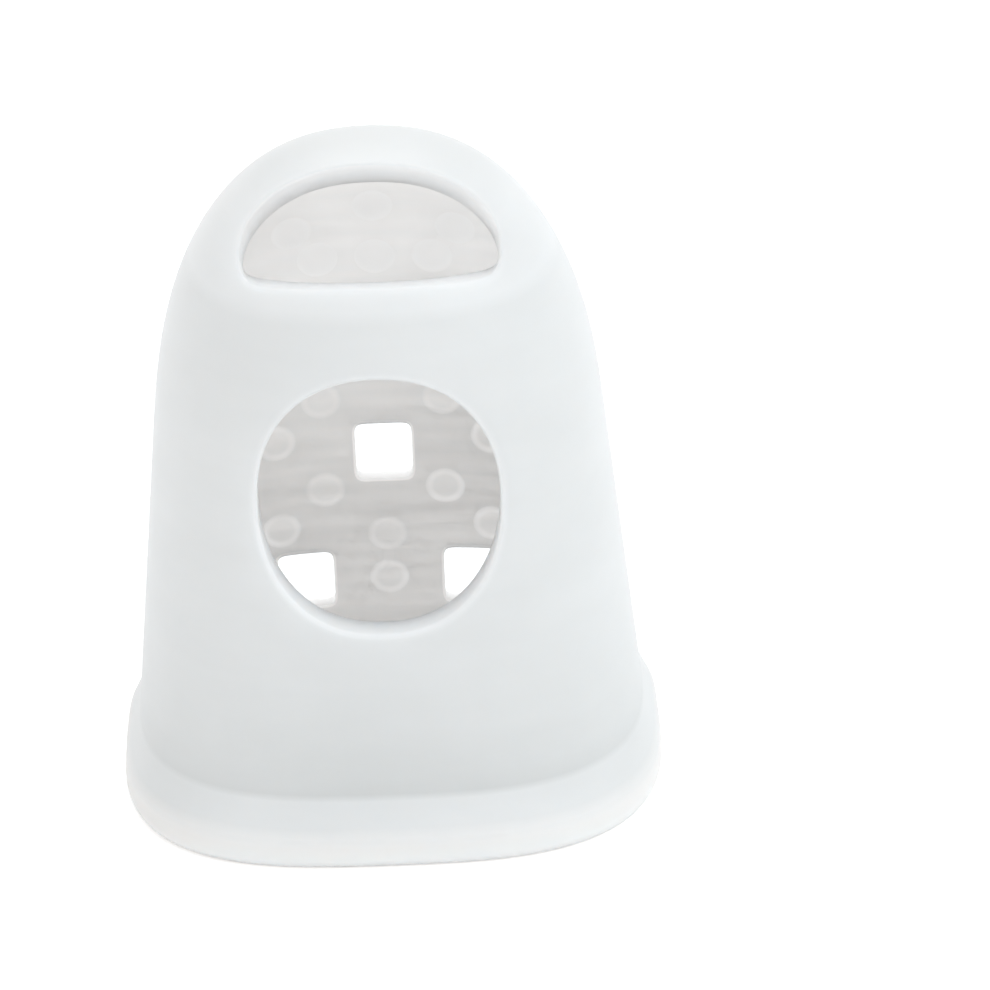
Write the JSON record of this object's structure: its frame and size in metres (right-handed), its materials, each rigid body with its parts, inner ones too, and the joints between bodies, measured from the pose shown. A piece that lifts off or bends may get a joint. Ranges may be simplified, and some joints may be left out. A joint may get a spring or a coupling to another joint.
{
  "type": "finger cot",
  "caption": "One-piece translucent silicone finger cot with a round tip, nail slot, round window, vented pad side with grip dots, and a flared lip.",
  "frame": {"origin": "middle of the box under the rim, on the plane that the open end stands on", "axes": "+Z from the open end to the tip, -Y towards the nail side with the window, +X to the right of the window"},
  "size_m": [0.0228, 0.0182, 0.0278],
  "materials": {
    "silicone": "milky translucent silicone with a soft satin surface"
  },
  "bodies": {
    "root": {"finger_cot": "silicone"}
  },
  "joints": []
}
